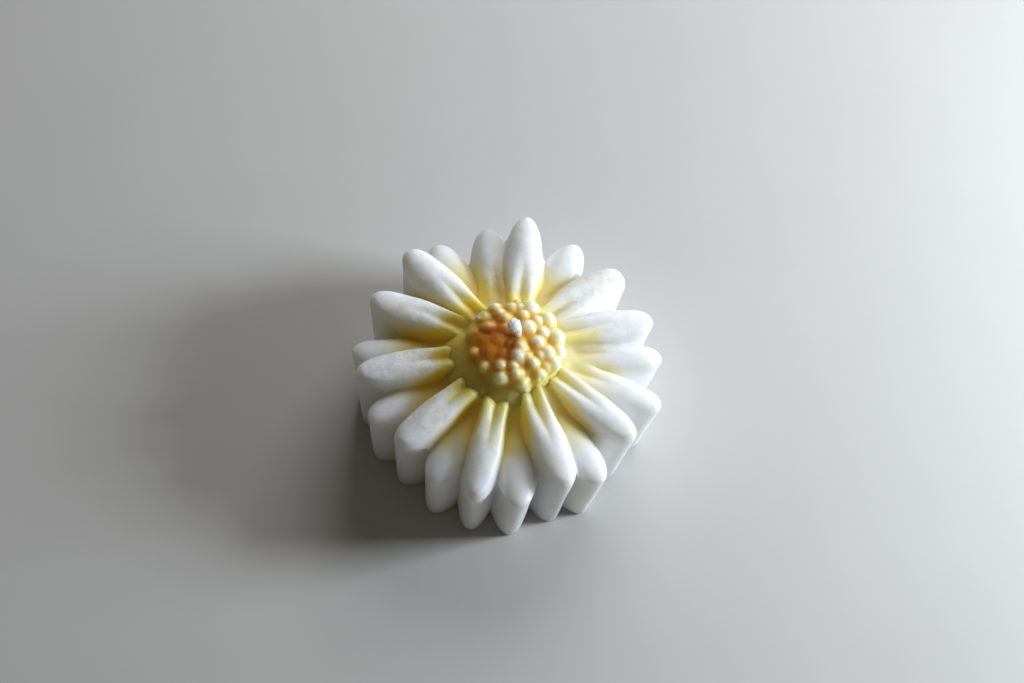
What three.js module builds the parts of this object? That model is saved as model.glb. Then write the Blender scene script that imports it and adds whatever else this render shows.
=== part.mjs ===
// A wax candle moulded in the form of a daisy head, standing face up on its flat base.
// White wax makes the petals, in an upper and a lower layer, and the block under them, whose
// sides run straight down from every petal tip to the base. A domed disc of orange-yellow wax
// sits in a shallow round seat in the middle and is covered with small bumps, like a daisy's
// florets. They are uneven, as in wax that was poured by hand. A cotton wick runs through both
// and curls over where it comes out on top.
//
// Units are millimetres and degrees. +Z is up, the base lies in the plane z = 0, and the Z axis
// runs up the wick hole. Azimuths are counted anticlockwise from +X.

import * as THREE from "three";

// Driving dimensions of the white wax.
const SEAT_Z = 26; // floor of the disc's round seat
const SEAT_RADIUS = 12.1;
const ROOT_RADIUS = 12; // distance from the axis at which the petals' roots are counted
const HUB_Z = 27.4; // height of the wax between the petals at their roots
const HUB_SLOPE = 0.45; // how fast that wax falls away outwards, in mm per mm
const HUB_BEND = 0.012; // and how fast it steepens, per mm
const WIDEST_AT = 23; // distance from the axis at which a petal is widest
const TIP_POWER = 2.2; // 2 makes the tip half an ellipse in plan, more makes it blunter
const HEEL_LENGTH = 4; // length of a petal's rounded inner end, most of it under the disc
const FLANK_DEPTH = 1.8; // how much lower the flank's foot lies beside the petal than at its tip
const FLANK_LEVELS_FROM = 9; // distance behind the tip at which that depth starts to shrink
const FLANK_LEVELS_TO = 1; // and at which it is gone
const ROOT_FOOT_Z = 26.6; // height of the flank's foot at the root
const ROOT_FOOT_END = 21; // distance from the axis at which it has come down
const RIM_TO_FOOT = 1; // a tip's rim down to the foot of its flank
const RIM_TO_CROWN = 0.6; // a tip's rim up to the crown behind it
const CROWN_POWER = 1.5; // 1 makes the crown straight from root to tip, more makes it droop late
const RIDGE_OFFSET = 2.1; // each of a parted petal's two ridges from its mid-line
const GROOVE_FROM = 13; // distances from the axis at which the groove between them starts to
const GROOVE_END = 28.5; // get shallower, and at which it has run out
const GROOVE_ROUND = 0.3; // half-width of the rounded bottom of the groove
const CROWN_BEND = 0.08; // curvature of a plain crown, per mm
const RIDGE_BEND = 0.36; // and of each ridge
const ROOT_DIP = 1.5; // how far a parted crown dips to a rounded end before it meets the disc
const JOINED_DIP = -0.7; // where its ridges run on up to the disc instead, it rises
const ROOT_DIP_FROM = 12.2; // distances from the axis at which the dip is deepest, and gone
const ROOT_DIP_TO = 14.2;
const DROOP = 1.3; // how much a plain petal's end droops at its tip
const DROOP_LENGTH = 9;
const EDGE_ROUNDING = 0.42; // softness of the crowns' edges
const VALLEY_ROUNDING = 0.32; // and of the valleys between petals
const FOOT_SHARE = 0.95; // size of the base outline beside the outline at the rim
const FOOT_SHIFT = new THREE.Vector2(0.3, 0.5); // how far that outline lies to one side
const FOOT_ROUND = 0.8; // rounding of the edge round the base

// At the front, wax has run out over the petals' roots in two broad tongues: the azimuth and
// half-width of each, its height beside the disc, and its slope and bend outwards.
const TONGUES = [
  { at: 216, halfWidth: 38, z: 29.3, slope: 0.5, bend: 0.05 },
  { at: 274, halfWidth: 24, z: 28.3, slope: 0.6, bend: 0 },
];
const TONGUE_FALL = 1.5; // how much lower a tongue lies at its half-width

// The layers that petals lie in: height of the crown at the root, half-width there, how strongly
// the crown is parted into two ridges, and the rise of the flanks over their run.
const UPPER = { rootZ: 28.6, rootHalfWidth: 3.2, parting: 1, flankSlope: 3.5 };
const MIDDLE = { rootZ: 26.6, rootHalfWidth: 4.2, parting: 0.6, flankSlope: 2.6 };
const LOWER = { rootZ: 24, rootHalfWidth: 6, parting: 0, flankSlope: 1.9 };

// Each petal: azimuth of its tip and of its root at the disc, how far its tip reaches from the
// axis, the height of its rim there, its half-width at the widest place, and its layer. The
// ridges of a joined petal run on up to the disc.
const PETALS = [
  { tip: -4, root: -3, reach: 37, rim: 23.1, halfWidth: 5.1, layer: MIDDLE },
  { tip: 15.5, root: 15, reach: 36.2, rim: 23.8, halfWidth: 5.1, layer: MIDDLE },
  { tip: 30.5, root: 38, reach: 35.9, rim: 25.8, halfWidth: 5.1, layer: UPPER },
  { tip: 53.5, root: 60, reach: 36.2, rim: 25.8, halfWidth: 6.1, layer: UPPER },
  { tip: 75, root: 77, reach: 36.9, rim: 24.2, halfWidth: 5.3, layer: LOWER },
  { tip: 96, root: 93, reach: 38.2, rim: 27.4, halfWidth: 5, layer: UPPER, joined: true },
  { tip: 110.5, root: 116, reach: 36.5, rim: 24, halfWidth: 5.3, layer: MIDDLE },
  { tip: 133, root: 131, reach: 35.8, rim: 23.6, halfWidth: 5.3, layer: LOWER },
  { tip: 145.5, root: 145, reach: 36.9, rim: 26.4, halfWidth: 5.2, layer: UPPER },
  { tip: 169.5, root: 168, reach: 36, rim: 25.7, halfWidth: 4.9, layer: UPPER },
  { tip: 192, root: 187, reach: 36.9, rim: 23.8, halfWidth: 4.8, layer: LOWER },
  { tip: 203, root: 203, reach: 36.5, rim: 26, halfWidth: 5, layer: UPPER },
  { tip: 220, root: 219, reach: 36.6, rim: 24.3, halfWidth: 4.9, layer: LOWER },
  { tip: 235, root: 237, reach: 35.3, rim: 25, halfWidth: 4.9, layer: UPPER },
  { tip: 253, root: 252, reach: 36.6, rim: 23.2, halfWidth: 5.2, layer: LOWER },
  { tip: 269, root: 266, reach: 37.2, rim: 24, halfWidth: 4.8, layer: UPPER },
  { tip: 284.7, root: 285, reach: 37.3, rim: 24.2, halfWidth: 5.2, layer: LOWER },
  { tip: 302.5, root: 302, reach: 35.4, rim: 26.6, halfWidth: 4.7, layer: UPPER, joined: true },
  { tip: 316, root: 318, reach: 36.9, rim: 24.2, halfWidth: 4.9, layer: LOWER },
  { tip: 337, root: 340, reach: 34.6, rim: 25.3, halfWidth: 4.6, layer: UPPER },
];

// Driving dimensions of the disc and the wick.
const DISC_RADIUS = 11.7;
const DISC_TOP_Z = 33.8;
const DISC_BEND = 0.022; // curvature of the dome, per mm
const DISC_SIDE_SLOPE = 3; // rise of the disc's side over its run
const DISC_SIDE_Z = 28; // height at which the side reaches the full radius
const DOME_ROUNDING = 0.7; // softness of the edge between the dome and its side
const BUMPS_FROM_Z = 29.2; // the side is plain below this, and the bumps are at full height
const BUMPS_FULL_Z = 30.4; // above this
const WICK_HOLE_RADIUS = 1.2;
const WICK_RADIUS = 0.9;
const WICK_FOOT_Z = 0.2;

// The bumps from the wick outwards, each with the azimuth of its centre, the distance of its
// centre from the axis, its radius and its height. They are largest and closest on the right.
const BUMPS = [
  { at: 247, out: 2.3, radius: 1.4, height: 0.9 },
  { at: 303, out: 2.7, radius: 1.5, height: 1.2 },
  { at: 150, out: 3.4, radius: 1.8, height: 0.8 },
  { at: 55, out: 4, radius: 2.1, height: 1.5 },
  { at: 205, out: 4.2, radius: 2, height: 0.7 },
  { at: 288, out: 4.8, radius: 1.7, height: 1.3 },
  { at: 0, out: 5.1, radius: 1.9, height: 1.5 },
  { at: 127, out: 5.5, radius: 1.6, height: 1.2 },
  { at: 250, out: 5.5, radius: 1.8, height: 0.8 },
  { at: 311, out: 5.6, radius: 1.4, height: 1.1 },
  { at: 85, out: 6.4, radius: 1.6, height: 1.2 },
  { at: 222, out: 7, radius: 1.9, height: 0.8 },
  { at: 28, out: 6.5, radius: 1.8, height: 1.4 },
  { at: 170, out: 6.9, radius: 1.8, height: 1.3 },
  { at: 277, out: 7, radius: 1.4, height: 1.1 },
  { at: 57, out: 7, radius: 1.6, height: 1.3 },
  { at: 315, out: 7.3, radius: 1.6, height: 1.3 },
  { at: 195, out: 7.7, radius: 1.9, height: 0.8 },
  { at: 336, out: 6.9, radius: 1.4, height: 1 },
  { at: 131, out: 7.6, radius: 1.5, height: 1.2 },
  { at: 256, out: 7.8, radius: 1.5, height: 1.2 },
  { at: 349, out: 8, radius: 1.8, height: 1.6 },
  { at: 95, out: 8.5, radius: 1.3, height: 1.2 },
  { at: 107, out: 8.5, radius: 1.7, height: 1.1 },
  { at: 283, out: 8.7, radius: 1.5, height: 1.3 },
  { at: 79, out: 9.5, radius: 2.4, height: 1.8 },
  { at: 131, out: 9.4, radius: 1.6, height: 1.3 },
  { at: 154, out: 9.5, radius: 1.6, height: 1.2 },
  { at: 50, out: 9.7, radius: 2.3, height: 1.8 },
  { at: 20, out: 9.8, radius: 2.4, height: 1.9 },
  { at: 330, out: 9.6, radius: 1.5, height: 0.9 },
  { at: 238, out: 10, radius: 1.5, height: 1.2 },
  { at: 212, out: 10, radius: 1.6, height: 1.1 },
  { at: 316, out: 10.2, radius: 1.6, height: 1.4 },
  { at: 263, out: 10.2, radius: 1.7, height: 1.3 },
  { at: 183, out: 10.4, radius: 1.8, height: 1 },
  { at: 291, out: 10.6, radius: 1.5, height: 1.3 },
  { at: 0, out: 10.4, radius: 2, height: 1.7 },
  { at: 342, out: 10.5, radius: 2, height: 1.7 },
];

// The wick's free end: places on its mid-line, with heights counted from the disc's top.
const WICK_END = [
  [0, 0, -1],
  [0, 0.2, 0.8],
  [-0.15, 1, 2.4],
  [-0.7, 1.6, 3.2],
  [-1.6, 1.8, 2.9],
  [-2.3, 1.7, 2.1],
];

// Mesh density. Rows are shares of the way from the seat to the rim, and from the rim down.
const COLUMNS_PER_PETAL = 14;
const TOP_ROWS = [0, 0.11, 0.22, 0.33, 0.44, 0.55, 0.65, 0.74, 0.82, 0.89, 0.945, 0.98, 1];
const SIDE_ROWS = [1 / 3, 2 / 3];
const DISC_COLUMNS = 120;
const DISC_ROWS = 19;
const DISC_SECTION_SAMPLES = 400;
const DISC_HOLE_COLUMNS = 24;
const WICK_SIDES = 10;
const WICK_STEPS = 40;

// The search for the outline: it starts outside every petal, and halves its last step.
const SEARCH_RADIUS = 40;
const SEARCH_STEP = 0.2;
const SEARCH_HALVINGS = 16;
const LEAST_GRADIENT = 0.25; // keeps a distance finite along a petal's mid-line

const radians = THREE.MathUtils.degToRad;

// A soft maximum of several heights: it joins surfaces with a small fillet.
function softMax(values, softness) {
  const top = Math.max(...values);
  const sum = values.reduce((total, v) => total + Math.exp((v - top) / softness), 0);
  return top + softness * Math.log(sum);
}

// A soft minimum of two heights: it rounds the edge where they meet.
function softMin(a, b, softness) {
  return -softMax([-a, -b], softness);
}

// 0 below the first limit, 1 above the second, and smooth between them.
function smoothStep(low, high, x) {
  const u = Math.min(1, Math.max(0, (x - low) / (high - low)));
  return u * u * (3 - 2 * u);
}

// A place in plan at a radius and an azimuth in radians.
function polar(radius, azimuth) {
  return new THREE.Vector2(radius * Math.cos(azimuth), radius * Math.sin(azimuth));
}

// Azimuths spread evenly round the circle.
function evenAzimuths(count) {
  return [...Array(count).keys()].map((j) => (2 * Math.PI * j) / count);
}

// A petal with its mid-line worked out: a straight line from its root to its tip, given by its
// bearing and by how far to the left of the Z axis it passes.
function withMidLine(petal) {
  const rootAt = polar(ROOT_RADIUS, radians(petal.root));
  const tipAt = polar(petal.reach, radians(petal.tip));
  const bearing = Math.atan2(tipAt.y - rootAt.y, tipAt.x - rootAt.x);
  const aside = rootAt.y * Math.cos(bearing) - rootAt.x * Math.sin(bearing);
  return { ...petal, bearing, aside };
}

const petals = PETALS.map(withMidLine);

// Azimuth, in radians, at which a petal's mid-line crosses a circle round the Z axis.
function midLineAzimuth(petal, radius) {
  return petal.bearing + Math.asin(petal.aside / radius);
}

// Distance along a petal's mid-line and distance across from it.
function petalPlace(petal, x, y) {
  const c = Math.cos(petal.bearing);
  const s = Math.sin(petal.bearing);
  return { along: x * c + y * s, across: y * c - x * s - petal.aside };
}

// Distance inside a petal's outline, negative outside it. The outline is where a function F of
// the place is 0, and F over the length of its gradient is nearly the distance.
function insideBy(petal, x, y) {
  const { along, across } = petalPlace(petal, x, y);
  const rootHalfWidth = petal.layer.rootHalfWidth;
  const widening = (petal.halfWidth - rootHalfWidth) * smoothStep(ROOT_RADIUS, WIDEST_AT, along);
  const halfWidth = rootHalfWidth + widening;
  const noseLength = petal.reach - WIDEST_AT;
  const nose = Math.max(0, (along - WIDEST_AT) / noseLength);
  const heel = Math.max(0, (ROOT_RADIUS - 1 - along) / HEEL_LENGTH);
  const f = 1 - nose ** TIP_POWER - (across / halfWidth) ** 2 - heel ** 2;
  const noseSteepness = (TIP_POWER * nose ** (TIP_POWER - 1)) / noseLength;
  const heelSteepness = (2 * heel) / HEEL_LENGTH;
  const acrossSteepness = (2 * across) / halfWidth ** 2;
  return f / Math.hypot(noseSteepness + heelSteepness, acrossSteepness, LEAST_GRADIENT);
}

// Height of one petal's crown: it falls outwards, and bends down across the petal from its
// mid-line, or from its two ridges where it is parted.
function crownHeight(petal, along, across) {
  const { rootZ, parting } = petal.layer;
  const outwards = Math.max(0, along - ROOT_RADIUS) / (petal.reach - ROOT_RADIUS);
  const fall = (rootZ - petal.rim - RIM_TO_CROWN) * outwards ** CROWN_POWER;
  const parted = parting * (1 - smoothStep(GROOVE_FROM, GROOVE_END, along));
  const plain = CROWN_BEND * across ** 2;
  const ridged = RIDGE_BEND * (Math.hypot(across, GROOVE_ROUND) - RIDGE_OFFSET) ** 2;
  const rootDip = parting * (petal.joined ? JOINED_DIP : ROOT_DIP);
  const dip = rootDip * (1 - smoothStep(ROOT_DIP_FROM, ROOT_DIP_TO, along));
  const nearTip = Math.max(0, 1 - (petal.reach - along) / DROOP_LENGTH);
  const droop = DROOP * (1 - parting) * nearTip ** 2;
  return rootZ - fall - plain * (1 - parted) - ridged * parted - dip - droop;
}

// Height of one petal's surface: its crown, cut off by flanks that fall away at its outline.
function petalHeight(petal, x, y) {
  const { along, across } = petalPlace(petal, x, y);
  const deep = smoothStep(FLANK_LEVELS_TO, FLANK_LEVELS_FROM, petal.reach - along);
  const outerFoot = petal.rim - RIM_TO_FOOT - FLANK_DEPTH * deep;
  const out = smoothStep(ROOT_RADIUS, ROOT_FOOT_END, along);
  const flankFoot = ROOT_FOOT_Z + (outerFoot - ROOT_FOOT_Z) * out;
  const flank = flankFoot + petal.layer.flankSlope * insideBy(petal, x, y);
  return softMin(crownHeight(petal, along, across), flank, EDGE_ROUNDING);
}

// Height of a tongue of wax that has run out over the petals' roots: it falls outwards, and to
// both sides of its middle.
function tongueHeight(tongue, x, y) {
  const out = Math.hypot(x, y) - SEAT_RADIUS;
  const aside = Math.atan2(y, x) - radians(tongue.at);
  const turn = Math.atan2(Math.sin(aside), Math.cos(aside)) / radians(tongue.halfWidth);
  return tongue.z - tongue.slope * out - tongue.bend * out * out - TONGUE_FALL * turn ** 4;
}

// Height of the white wax at a place: the highest of the petals, the tongues, and the hub between
// the petals' roots.
function topHeight(x, y) {
  const out = Math.hypot(x, y) - ROOT_RADIUS;
  const hub = HUB_Z - HUB_SLOPE * out - HUB_BEND * out * out;
  const run = TONGUES.map((tongue) => tongueHeight(tongue, x, y));
  const crowns = petals.map((petal) => petalHeight(petal, x, y));
  return softMax([hub, ...run, ...crowns], VALLEY_ROUNDING);
}

// A place on a mesh column: the columns between two petals fan out between their mid-lines.
function columnPlace(column, radius) {
  const here = Math.floor(column / COLUMNS_PER_PETAL);
  const share = column / COLUMNS_PER_PETAL - here;
  const from = midLineAzimuth(petals[here], radius);
  let to = midLineAzimuth(petals[(here + 1) % petals.length], radius);
  if (to < from) to += 2 * Math.PI;
  return polar(radius, from + (to - from) * share);
}

// Radius at which a column leaves the petals' common outline, found by halving.
function outlineRadius(column) {
  const inside = (radius) => {
    const p = columnPlace(column, radius);
    return softMax(petals.map((petal) => insideBy(petal, p.x, p.y)), VALLEY_ROUNDING) > 0;
  };
  let inner = SEARCH_RADIUS;
  while (!inside(inner)) inner -= SEARCH_STEP;
  let outer = inner + SEARCH_STEP;
  for (let halving = 0; halving < SEARCH_HALVINGS; halving++) {
    const middle = (inner + outer) / 2;
    if (inside(middle)) inner = middle;
    else outer = middle;
  }
  return inner;
}

// Collects rings of points, and joins each ring to the next with a band of triangles. Rings run
// anticlockwise and follow the cross-section clockwise, so that faces point outwards. A ring may
// have a whole number of times as many points as its neighbour.
class RingSurface {
  positions = [];
  triangles = [];
  rings = [];

  ring(points) {
    const first = this.positions.length / 3;
    points.forEach((p) => this.positions.push(p.x, p.y, p.z));
    this.rings.push(points.map((_, i) => first + i));
  }

  band(a, b) {
    const count = Math.max(a.length, b.length);
    const at = (ring, j) => ring[Math.floor((j * ring.length) / count) % ring.length];
    for (let j = 0; j < count; j++) {
      if (at(b, j) !== at(b, j + 1)) this.triangles.push(at(a, j), at(b, j), at(b, j + 1));
      if (at(a, j) !== at(a, j + 1)) this.triangles.push(at(a, j), at(b, j + 1), at(a, j + 1));
    }
  }

  // The closed surface: the last ring is joined to the first.
  geometry() {
    this.rings.forEach((ring, i) => this.band(ring, this.rings[(i + 1) % this.rings.length]));
    const geometry = new THREE.BufferGeometry();
    geometry.setAttribute("position", new THREE.Float32BufferAttribute(this.positions, 3));
    geometry.setIndex(this.triangles);
    geometry.computeVertexNormals();
    return geometry;
  }
}

// A level ring with its points at given azimuths.
function levelRing(azimuths, radius, z) {
  return azimuths.map((azimuth) => {
    const place = polar(radius, azimuth);
    return new THREE.Vector3(place.x, place.y, z);
  });
}

// The rim at a mesh column: where the top meets the side.
function rimAt(column) {
  const radius = outlineRadius(column);
  const place = columnPlace(column, radius);
  return { radius, place, z: topHeight(place.x, place.y) };
}

// A point on the side under a place on the rim: the outline shrinks and shifts a little on its
// way down.
function sidePoint(rim, z, inset = 0) {
  const down = 1 - z / rim.z;
  const size = 1 - (1 - FOOT_SHARE) * down - inset / rim.radius;
  const place = rim.place.clone().multiplyScalar(size).addScaledVector(FOOT_SHIFT, down);
  return new THREE.Vector3(place.x, place.y, z);
}

// White wax: seat for the disc, petals, sides down to the base, base, and the wick hole.
function waxBodyGeometry() {
  const columns = [...Array(petals.length * COLUMNS_PER_PETAL).keys()];
  const rims = columns.map(rimAt);
  const holeAzimuths = petals.map((petal) => radians(petal.root));
  const surface = new RingSurface();
  surface.ring(levelRing(holeAzimuths, WICK_HOLE_RADIUS, SEAT_Z));
  surface.ring(
    columns.map((column) => {
      const place = columnPlace(column, SEAT_RADIUS);
      return new THREE.Vector3(place.x, place.y, SEAT_Z);
    }),
  );
  for (const share of TOP_ROWS) {
    surface.ring(
      columns.map((column) => {
        const radius = SEAT_RADIUS + (rims[column].radius - SEAT_RADIUS) * share;
        const place = columnPlace(column, radius);
        return new THREE.Vector3(place.x, place.y, topHeight(place.x, place.y));
      }),
    );
  }
  for (const down of SIDE_ROWS) {
    surface.ring(rims.map((rim) => sidePoint(rim, rim.z * (1 - down))));
  }
  surface.ring(rims.map((rim) => sidePoint(rim, FOOT_ROUND)));
  surface.ring(rims.map((rim) => sidePoint(rim, 0, FOOT_ROUND)));
  surface.ring(levelRing(holeAzimuths, WICK_HOLE_RADIUS, 0));
  return surface.geometry();
}

// Height of the plain dome of the disc at a radius, before the bumps are raised from it.
function domeHeight(radius) {
  const dome = DISC_TOP_Z - DISC_BEND * radius * radius;
  const side = DISC_SIDE_Z + DISC_SIDE_SLOPE * (DISC_RADIUS - radius);
  return softMin(dome, side, DOME_ROUNDING);
}

// Points along the dome's cross-section, from the wick hole to the foot of its side, evenly
// spaced along the curve, each with the direction that faces out.
function domeSection() {
  const dense = [];
  for (let i = 0; i <= DISC_SECTION_SAMPLES; i++) {
    const share = i / DISC_SECTION_SAMPLES;
    const radius = WICK_HOLE_RADIUS + (DISC_RADIUS - WICK_HOLE_RADIUS) * share;
    dense.push(new THREE.Vector2(radius, domeHeight(radius)));
  }
  const curve = new THREE.SplineCurve(dense);
  return [...Array(DISC_ROWS).keys()].map((row) => {
    const at = row / (DISC_ROWS - 1);
    const point = curve.getPointAt(at);
    const tangent = curve.getTangentAt(at);
    return { point, facing: new THREE.Vector2(-tangent.y, tangent.x) };
  });
}

// The bumps with their centres as points on the dome.
function makeBumps() {
  return BUMPS.map(({ at, out, radius, height }) => {
    const place = polar(out, radians(at));
    return { centre: new THREE.Vector3(place.x, place.y, domeHeight(out)), radius, height };
  });
}

// How far the bumps raise a place on the dome: the highest of them counts.
function raisedBy(bumps, place) {
  const rises = bumps.map(({ centre, radius, height }) => {
    return height * Math.max(0, 1 - (centre.distanceTo(place) / radius) ** 2);
  });
  return Math.max(...rises) * smoothStep(BUMPS_FROM_Z, BUMPS_FULL_Z, place.z);
}

// Orange-yellow wax: a domed disc with bumps raised from it, a flat underside and the wick hole.
function waxDiscGeometry() {
  const bumps = makeBumps();
  const azimuths = evenAzimuths(DISC_COLUMNS);
  const holeAzimuths = evenAzimuths(DISC_HOLE_COLUMNS);
  const surface = new RingSurface();
  domeSection().forEach(({ point, facing }, row) => {
    if (row === 0) {
      surface.ring(levelRing(holeAzimuths, point.x, point.y));
      return;
    }
    surface.ring(
      levelRing(azimuths, point.x, point.y).map((place, j) => {
        const raised = raisedBy(bumps, place);
        const moved = polar(point.x + facing.x * raised, azimuths[j]);
        return new THREE.Vector3(moved.x, moved.y, point.y + facing.y * raised);
      }),
    );
  });
  surface.ring(levelRing(azimuths, DISC_RADIUS, SEAT_Z));
  surface.ring(levelRing(holeAzimuths, WICK_HOLE_RADIUS, SEAT_Z));
  return surface.geometry();
}

// Cotton wick: straight up the hole, then a short free end that leans back and curls over.
function wickGeometry() {
  const inHole = [WICK_FOOT_Z, DISC_TOP_Z / 2].map((z) => new THREE.Vector3(0, 0, z));
  const free = WICK_END.map(([x, y, z]) => new THREE.Vector3(x, y, DISC_TOP_Z + z));
  const route = new THREE.CatmullRomCurve3([...inHole, ...free], false, "centripetal");
  const round = evenAzimuths(WICK_SIDES).map((azimuth) => polar(WICK_RADIUS, azimuth));
  return new THREE.ExtrudeGeometry(new THREE.Shape(round), {
    steps: WICK_STEPS,
    extrudePath: route,
    bevelEnabled: false,
  });
}

function namedMesh(name, geometry, colour, roughness) {
  const material = new THREE.MeshStandardMaterial({ color: colour, roughness, metalness: 0 });
  const mesh = new THREE.Mesh(geometry, material);
  mesh.name = name;
  return mesh;
}

const candle = new THREE.Group();
candle.add(namedMesh("wax_body", waxBodyGeometry(), 0xece8d4, 0.5));
candle.add(namedMesh("wax_disc", waxDiscGeometry(), 0xd99a1e, 0.45));
candle.add(namedMesh("wick", wickGeometry(), 0xf2efe6, 0.9));

export default candle;
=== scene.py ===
# %% [markdown]
# # A wax candle in the form of a daisy head
# Two colours of wax are cast in one mould: white wax makes the petals and the block under them,
# and orange-yellow wax makes the bumpy disc in the middle. A cotton wick runs up through both.
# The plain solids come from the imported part. Here each one gets a finer surface, worked out from
# mostly the same sizes, and a material of its own. The bumps, the run-out wax and the petals'
# inner ends are shaped anew, by up to 1.5 mm.
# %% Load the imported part
import math
import bpy
import numpy as np
from mathutils import Matrix, Vector


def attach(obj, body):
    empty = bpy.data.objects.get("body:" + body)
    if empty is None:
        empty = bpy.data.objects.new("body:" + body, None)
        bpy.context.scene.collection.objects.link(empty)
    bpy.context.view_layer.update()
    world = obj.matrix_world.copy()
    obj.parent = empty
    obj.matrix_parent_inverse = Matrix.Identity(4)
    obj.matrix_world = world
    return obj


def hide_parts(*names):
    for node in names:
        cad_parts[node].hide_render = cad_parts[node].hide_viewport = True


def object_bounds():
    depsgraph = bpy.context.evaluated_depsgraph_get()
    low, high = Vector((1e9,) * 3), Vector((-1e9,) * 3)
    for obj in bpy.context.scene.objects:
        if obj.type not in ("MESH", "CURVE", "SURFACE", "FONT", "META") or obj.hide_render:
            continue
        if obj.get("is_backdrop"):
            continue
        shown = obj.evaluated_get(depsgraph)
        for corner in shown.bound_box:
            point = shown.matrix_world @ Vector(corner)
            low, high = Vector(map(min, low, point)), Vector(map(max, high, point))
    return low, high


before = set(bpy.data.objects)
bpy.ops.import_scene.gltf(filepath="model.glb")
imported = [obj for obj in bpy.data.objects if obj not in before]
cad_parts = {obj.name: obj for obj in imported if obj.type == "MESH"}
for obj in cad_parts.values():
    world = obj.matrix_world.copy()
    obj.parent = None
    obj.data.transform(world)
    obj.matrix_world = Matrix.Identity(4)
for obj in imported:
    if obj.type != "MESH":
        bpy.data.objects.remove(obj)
CAD_LOW, CAD_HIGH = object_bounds()
MM = 0.001
print("packed part:", sorted(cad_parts), "size in mm:", [round(s / MM, 1) for s in CAD_HIGH - CAD_LOW])

# %% [markdown]
# ## Camera
# The picture looks down on the candle from the front, about 60 degrees above the table, and is
# tilted a little to one side. A camera is placed by its direction of view, its distance and the
# pixel at which the centre of the base appears. The direction and the pixel were fitted to marked
# points, and views from 58 to 62 degrees fit about equally well. The lens can't be told from the
# picture: 50 mm is a guess, and the distance follows from it and from the assumed size.
# %% Camera
IMAGE_WIDTH, IMAGE_HEIGHT = 1024, 683
VIEW_DOWN = math.radians(60)
TILT = math.radians(-13.3)
DISTANCE = 0.3533
LENS_MM, SENSOR_MM = 50, 36
BASE_PIXEL = (499.9, 403.1)


def camera_matrix():
    """The base centre lies DISTANCE along the view; the camera slides sideways and upwards by the
    distance of BASE_PIXEL from the middle of the image, times what one pixel covers there."""
    level = Vector((1, 0, 0))
    rising = Vector((0, math.sin(VIEW_DOWN), math.cos(VIEW_DOWN)))
    back = Vector((0, -math.cos(VIEW_DOWN), math.sin(VIEW_DOWN)))
    right = math.cos(TILT) * level - math.sin(TILT) * rising
    up = math.sin(TILT) * level + math.cos(TILT) * rising
    pixel = SENSOR_MM / LENS_MM / IMAGE_WIDTH * DISTANCE
    place = DISTANCE * back
    place -= (BASE_PIXEL[0] - IMAGE_WIDTH / 2) * pixel * right
    place += (BASE_PIXEL[1] - IMAGE_HEIGHT / 2) * pixel * up
    matrix = Matrix((right, up, back)).transposed().to_4x4()
    matrix.translation = place
    return matrix


camera_data = bpy.data.cameras.new("camera")
camera_data.lens, camera_data.sensor_width = LENS_MM, SENSOR_MM
camera = bpy.data.objects.new("camera", camera_data)
camera.matrix_world = camera_matrix()
bpy.context.scene.collection.objects.link(camera)
bpy.context.scene.camera = camera
print("camera at", [round(c, 3) for c in camera.matrix_world.translation])

# %% [markdown]
# ## Light
# Wax shows its form best in one light from low at the side, which rakes across the grooves and
# bumps. The size of a lamp sets how soft its shadows are, so this one is small. A second, broad
# lamp stands behind the candle and keeps the shadows open, and faint, warm surroundings light the
# side that faces away from both.
# %% Light
LAMP_TARGET = Vector((0, 0, 0.02))


def soft_light(name, place, size, watts, colour):
    """A square lamp at a place, turned to face the middle of the candle."""
    lamp = bpy.data.lights.new(name, "AREA")
    lamp.size, lamp.energy, lamp.color = size, watts, colour
    holder = bpy.data.objects.new(name, lamp)
    holder.location = place
    holder.rotation_euler = (LAMP_TARGET - Vector(place)).to_track_quat("-Z", "Y").to_euler()
    bpy.context.scene.collection.objects.link(holder)


soft_light("side_light", (0.43, 0.13, 0.2), size=0.14, watts=2.9, colour=(0.84, 0.93, 1.0))
soft_light("fill_light", (0.05, 0.6, 0.4), size=0.5, watts=2.8, colour=(0.95, 0.97, 1.0))
world = bpy.data.worlds.new("studio")
world.use_nodes = True
surroundings = world.node_tree.nodes["Background"]
surroundings.inputs["Color"].default_value = (1.0, 0.92, 0.72, 1)
surroundings.inputs["Strength"].default_value = 0.08
bpy.context.scene.world = world
bpy.context.scene.view_settings.view_transform = "Standard"

# %% [markdown]
# ## Sums that every surface uses
# The petals run into each other in soft valleys. Taking the highest of several heights would
# leave a sharp crease, so a soft maximum is used instead: it equals the highest value, plus a
# little where two come close. The same sum on negative values gives a soft minimum, which rounds
# an edge. The heights are whole arrays, one number for every vertex.
# %% Soft maximum, soft minimum, smooth step and clouds
CLOUD_CORNERS, CLOUD_SHIFT = 32, 1000  # the draws repeat after that many cells; the shift is whole


def soft_max(values, softness):
    """top + softness * log(sum of exp((value - top) / softness)), down the first axis."""
    top = values.max(axis=0)
    return top + softness * np.log(np.exp((values - top) / softness).sum(axis=0))


def soft_min(a, b, softness):
    """The soft maximum of the negative values, made negative."""
    return -soft_max(np.stack([-a, -b]), softness)


def smooth_step(low, high, x):
    """u * u * (3 - 2 * u), where u goes from 0 at low to 1 at high and stays there."""
    u = np.clip((x - low) / (high - low), 0, 1)
    return u * u * (3 - 2 * u)


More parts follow.
